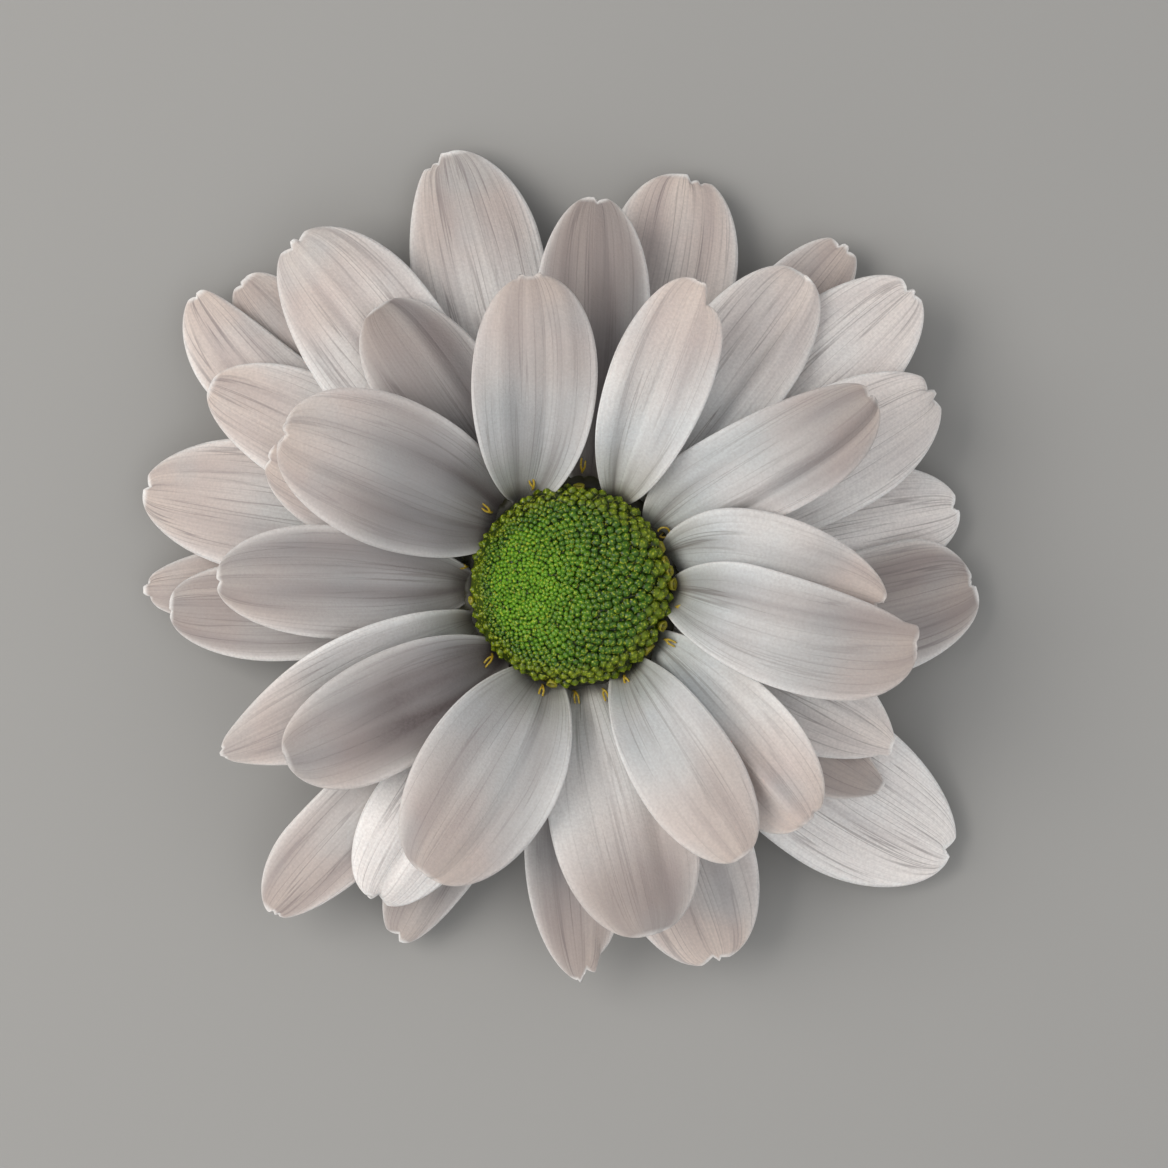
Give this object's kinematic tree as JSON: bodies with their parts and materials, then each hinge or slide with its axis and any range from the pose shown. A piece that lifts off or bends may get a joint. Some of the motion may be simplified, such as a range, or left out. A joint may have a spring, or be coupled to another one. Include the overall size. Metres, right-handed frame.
{
  "type": "daisy-form chrysanthemum bloom",
  "caption": "Single white spray-chrysanthemum bloom: layered petals round a domed green disc, on a bracted calyx with a short cut stem end.",
  "frame": {"origin": "on the bloom's axis, on the flat cut end of the stem that the bloom rests on", "axes": "+Z up out of the disc, +X to the right and +Y up in the picture, which looks straight down"},
  "size_m": [0.0715, 0.0706, 0.0188],
  "materials": {
    "petals": "velvety off-white petal, bluish at the foot and peach at the tip",
    "disc": "fresh green buds with a soft sheen",
    "calyx": "matte green bracts"
  },
  "bodies": {
    "root": {"ray_florets": "petals", "disc_florets": "disc", "calyx": "calyx"}
  },
  "joints": []
}
